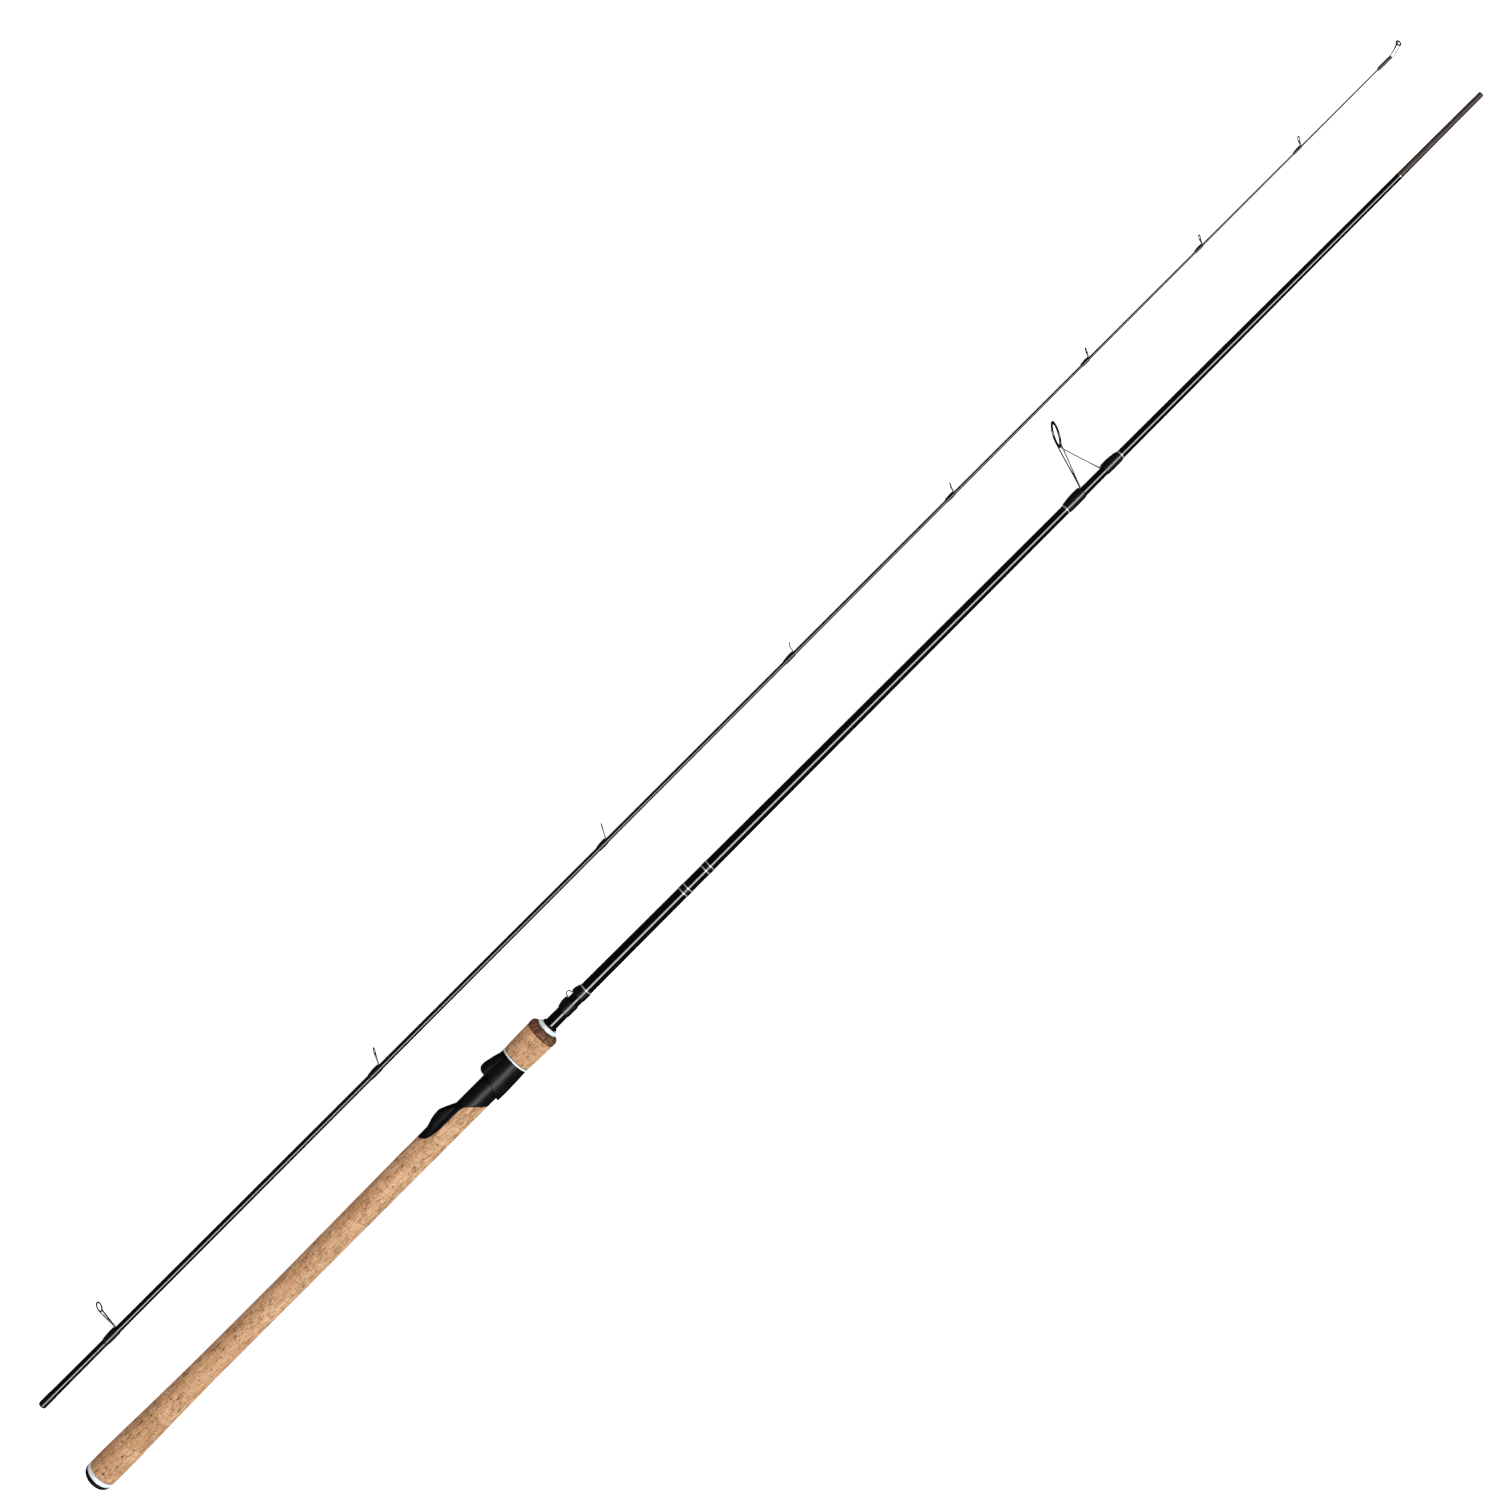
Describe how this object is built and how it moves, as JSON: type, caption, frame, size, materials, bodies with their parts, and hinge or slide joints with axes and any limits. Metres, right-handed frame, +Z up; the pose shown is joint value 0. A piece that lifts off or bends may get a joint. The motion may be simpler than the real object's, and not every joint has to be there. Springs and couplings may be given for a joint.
{
  "type": "two-piece spinning rod",
  "caption": "Spinning rod with cork handle, skeleton reel seat closed by a turning foregrip, stripper guide and single-foot line guides, taken down into its butt and tip sections.",
  "frame": {"origin": "centre of the bounding box in X and Y, on the surface that both sections lie on", "axes": "+X along both sections from butt to tip, +Y the way the guides and the reel side of the seat point, +Z up"},
  "size_m": [1.403, 0.1022, 0.0246],
  "materials": {
    "cork": "matt natural cork in rings, with brown pits",
    "burl_cork": "matt dark speckled burl cork",
    "gloss_carbon": "clear-coated black carbon fibre, ground matt at the male ferrule",
    "satin_seat": "satin black moulded",
    "butt_rubber": "matt black rubber",
    "bright_trim": "bright turned aluminium",
    "black_thread": "black thread under clear gloss epoxy",
    "silver_thread": "silver metallic thread under clear gloss epoxy",
    "guide_frame": "polished dark stainless steel",
    "ring_ceramic": "polished black ceramic",
    "arbor_foam": "rigid foam, hidden",
    "nut_nylon": "black nylon, hidden in the cork"
  },
  "bodies": {
    "butt_section": {"butt_blank": "gloss_carbon", "butt_cap": "butt_rubber", "butt_trim_ring": "bright_trim", "rear_grip": "cork", "seat_arbor_rear": "arbor_foam", "seat_arbor_front": "arbor_foam", "reel_seat": "satin_seat", "hook_keeper": "guide_frame", "keeper_wrap_rear": "black_thread", "keeper_wrap_front": "black_thread", "keeper_band": "silver_thread", "trim_band_1": "silver_thread", "trim_band_2": "silver_thread", "trim_band_3": "silver_thread", "trim_band_4": "silver_thread", "trim_wrap_rear": "black_thread", "trim_wrap_front": "black_thread", "ferrule_line": "silver_thread", "stripper_frame": "guide_frame", "stripper_ring": "ring_ceramic", "stripper_wrap_rear": "black_thread", "stripper_wrap_front": "black_thread", "stripper_band_rear": "silver_thread", "stripper_band_front": "silver_thread"},
    "sliding_hood": {"sliding_hood": "satin_seat", "hood_trim_ring": "bright_trim"},
    "foregrip": {"locking_nut": "nut_nylon", "foregrip_cork": "cork", "foregrip_end_ring": "burl_cork", "foregrip_check": "bright_trim", "foregrip_seal": "butt_rubber"},
    "tip_section": {"tip_blank": "gloss_carbon", "socket_wrap": "black_thread", "guide_1_frame": "guide_frame", "guide_1_ring": "ring_ceramic", "guide_1_wrap": "black_thread", "guide_2_frame": "guide_frame", "guide_2_ring": "ring_ceramic", "guide_2_wrap": "black_thread", "guide_3_frame": "guide_frame", "guide_3_ring": "ring_ceramic", "guide_3_wrap": "black_thread", "guide_4_frame": "guide_frame", "guide_4_ring": "ring_ceramic", "guide_4_wrap": "black_thread", "guide_5_frame": "guide_frame", "guide_5_ring": "ring_ceramic", "guide_5_wrap": "black_thread", "guide_6_frame": "guide_frame", "guide_6_ring": "ring_ceramic", "guide_6_wrap": "black_thread", "guide_7_frame": "guide_frame", "guide_7_ring": "ring_ceramic", "guide_7_wrap": "black_thread", "guide_8_frame": "guide_frame", "guide_8_ring": "ring_ceramic", "guide_8_wrap": "black_thread", "tip_top_frame": "guide_frame", "tip_top_ring": "ring_ceramic"}
  },
  "joints": [
    {"name": "hood_slide", "type": "slide", "parent": "butt_section", "child": "sliding_hood", "axis": [1, 0, 0], "range_m": [-0.0051, 0.0121]},
    {"name": "foregrip_turn", "type": "hinge", "parent": "sliding_hood", "child": "foregrip", "pos_m": [-0.2756, -0.03881, 0.0123], "axis": [1, 0, 0], "range_deg": [-600, 1440]},
    {"name": "tip_slide", "type": "slide", "parent": "butt_section", "child": "tip_section", "axis": [1, 0, 0], "range_m": [0, 1.42]}
  ],
  "couplings": [
    {"joint": "hood_slide", "follows": "foregrip_turn", "m_per_rad": 0.00047746}
  ]
}
